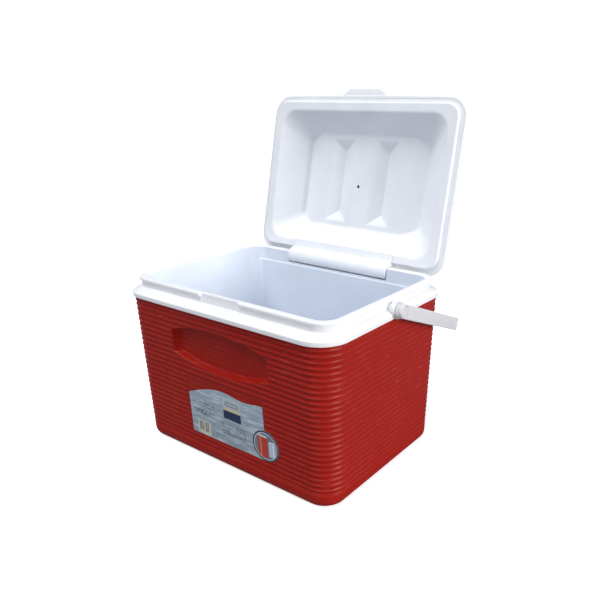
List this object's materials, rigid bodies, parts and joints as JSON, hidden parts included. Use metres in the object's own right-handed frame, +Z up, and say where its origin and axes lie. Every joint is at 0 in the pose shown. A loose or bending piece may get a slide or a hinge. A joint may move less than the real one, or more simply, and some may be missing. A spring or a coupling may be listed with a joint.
{
  "type": "hard cooler",
  "caption": "Insulated hard-sided cooler with a ribbed shell, a white tub and rim, a hinged lid that stands open and a swing bail handle.",
  "frame": {"origin": "on the ground, at the centre of the body's flat underside", "axes": "+X along the length, to the right as seen from the front with the grip recess, +Y to the back with the hinge, +Z up"},
  "size_m": [0.4572, 0.4316, 0.5816],
  "materials": {
    "red_shell": "satin",
    "white_liner": "satin",
    "white_lid": "satin",
    "white_fittings": "satin",
    "foam": "matte",
    "label_film": "gloss"
  },
  "bodies": {
    "cooler_body": {"outer_shell": "red_shell", "body_foam": "foam", "liner": "white_liner", "hinge_rod": "white_fittings", "label": "label_film", "pivot_washer_left": "white_fittings", "pivot_washer_right": "white_fittings", "pivot_pin_left": "white_fittings", "pivot_pin_right": "white_fittings"},
    "lid": {"lid_shell": "white_lid", "lid_liner": "white_liner", "lid_foam": "foam", "hinge_strap": "white_liner"},
    "handle": {"handle": "white_lid"}
  },
  "joints": [
    {"name": "lid_hinge", "type": "hinge", "parent": "cooler_body", "child": "lid", "pos_m": [0, 0.15, 0.28], "axis": [1, 0, 0], "range_deg": [0, 102.5]},
    {"name": "handle_pivot", "type": "hinge", "parent": "cooler_body", "child": "handle", "pos_m": [0, 0.004, 0.272], "axis": [1, 0, 0], "range_deg": [0, 22]}
  ]
}
